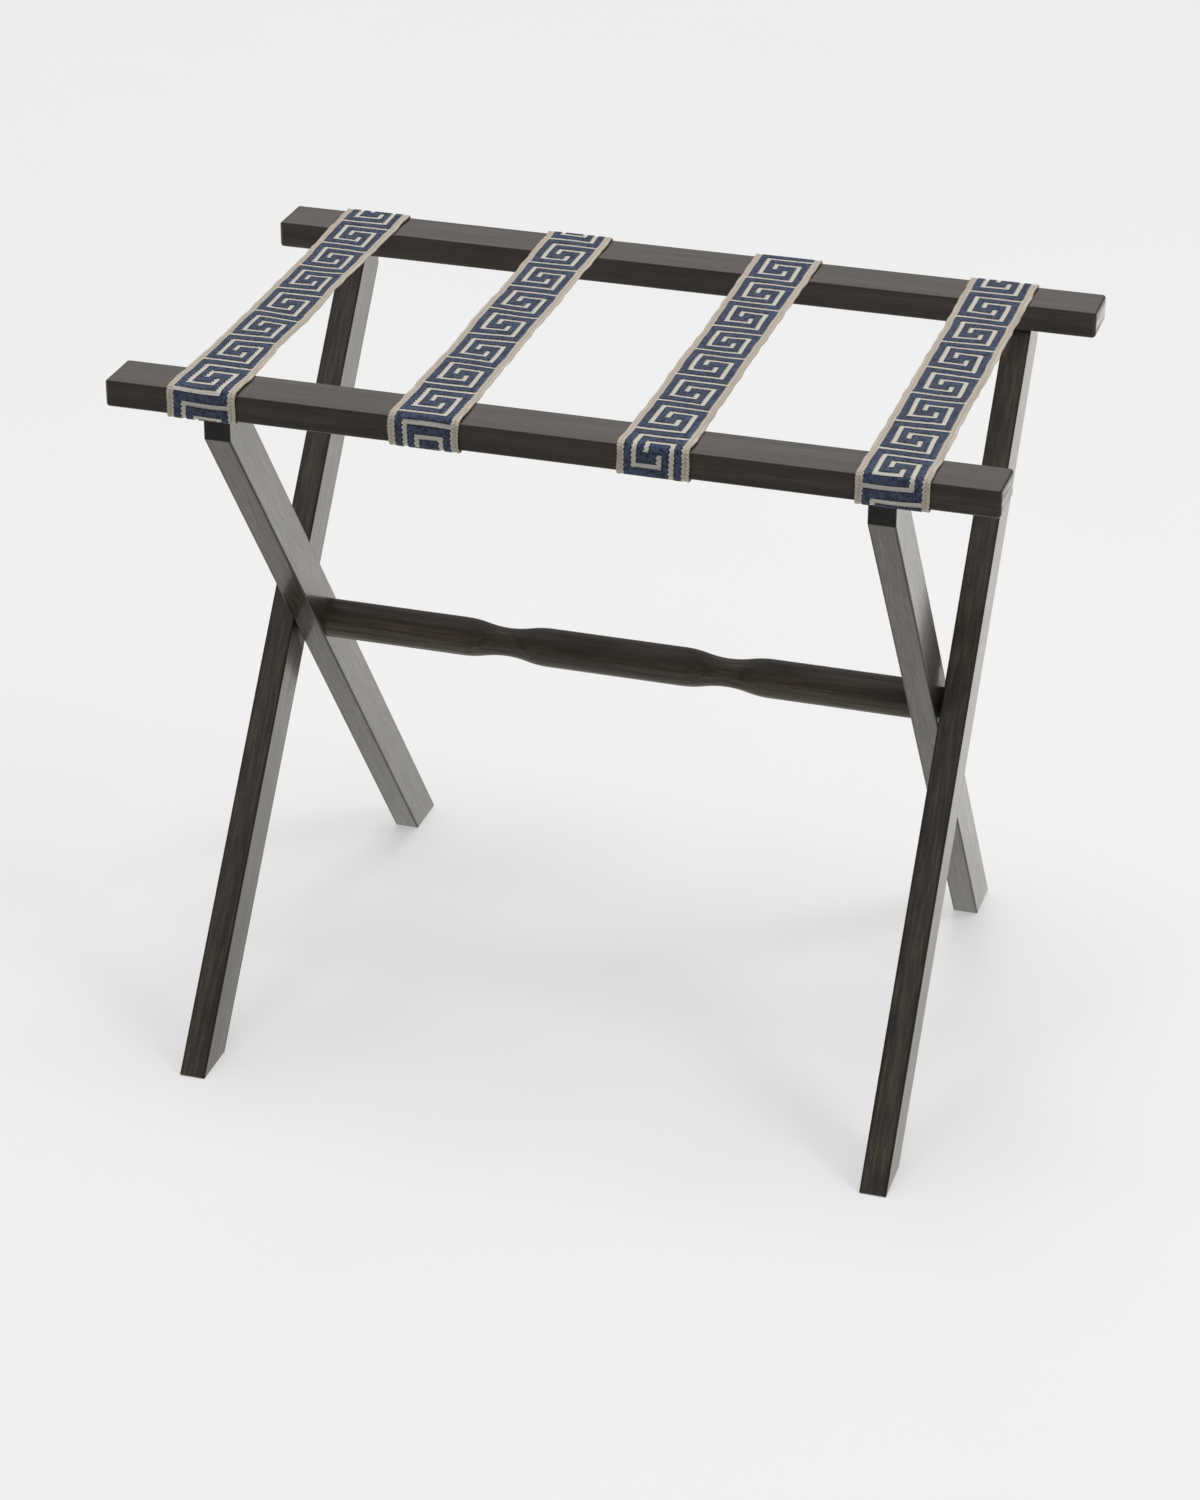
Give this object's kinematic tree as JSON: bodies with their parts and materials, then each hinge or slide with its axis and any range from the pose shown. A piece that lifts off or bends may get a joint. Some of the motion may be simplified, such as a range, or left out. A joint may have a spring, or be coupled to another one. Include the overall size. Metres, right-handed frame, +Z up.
{
  "type": "folding luggage rack",
  "caption": "Folding luggage rack: two crossed dark wood frames on a shared pivot, a turned stretcher and woven straps with a key pattern across the rails.",
  "frame": {"origin": "on the floor, under the middle of the open rack", "axes": "+X along the rails to the right as seen from the front, +Y from the front rail to the rear rail, +Z up"},
  "size_m": [0.61, 0.436, 0.5168],
  "materials": {
    "dark_wood": "satin lacquer, ebony stain",
    "dowel_wood": "raw beech",
    "webbing": "woven blue ground with a beige key pattern",
    "steel": "ground",
    "nylon": "matt"
  },
  "bodies": {
    "outer_frame": {"rear_rail": "dark_wood", "outer_leg_left": "dark_wood", "outer_leg_right": "dark_wood", "rear_dowels": "dowel_wood", "rear_staples": "steel", "strap_1": "webbing", "strap_2": "webbing", "strap_3": "webbing", "strap_4": "webbing"},
    "inner_frame": {"front_rail": "dark_wood", "inner_leg_left": "dark_wood", "inner_leg_right": "dark_wood", "turned_stretcher": "dark_wood", "pivot_pin_left": "steel", "pivot_pin_right": "steel", "pivot_washer_left": "nylon", "pivot_washer_right": "nylon", "front_dowels": "dowel_wood", "front_staples": "steel"}
  },
  "joints": [
    {"name": "fold", "type": "hinge", "parent": "outer_frame", "child": "inner_frame", "pos_m": [0, 0, 0.269], "axis": [-1, 0, 0], "range_deg": [0, 56], "deforming": ["strap_1", "strap_2", "strap_3", "strap_4"]}
  ]
}
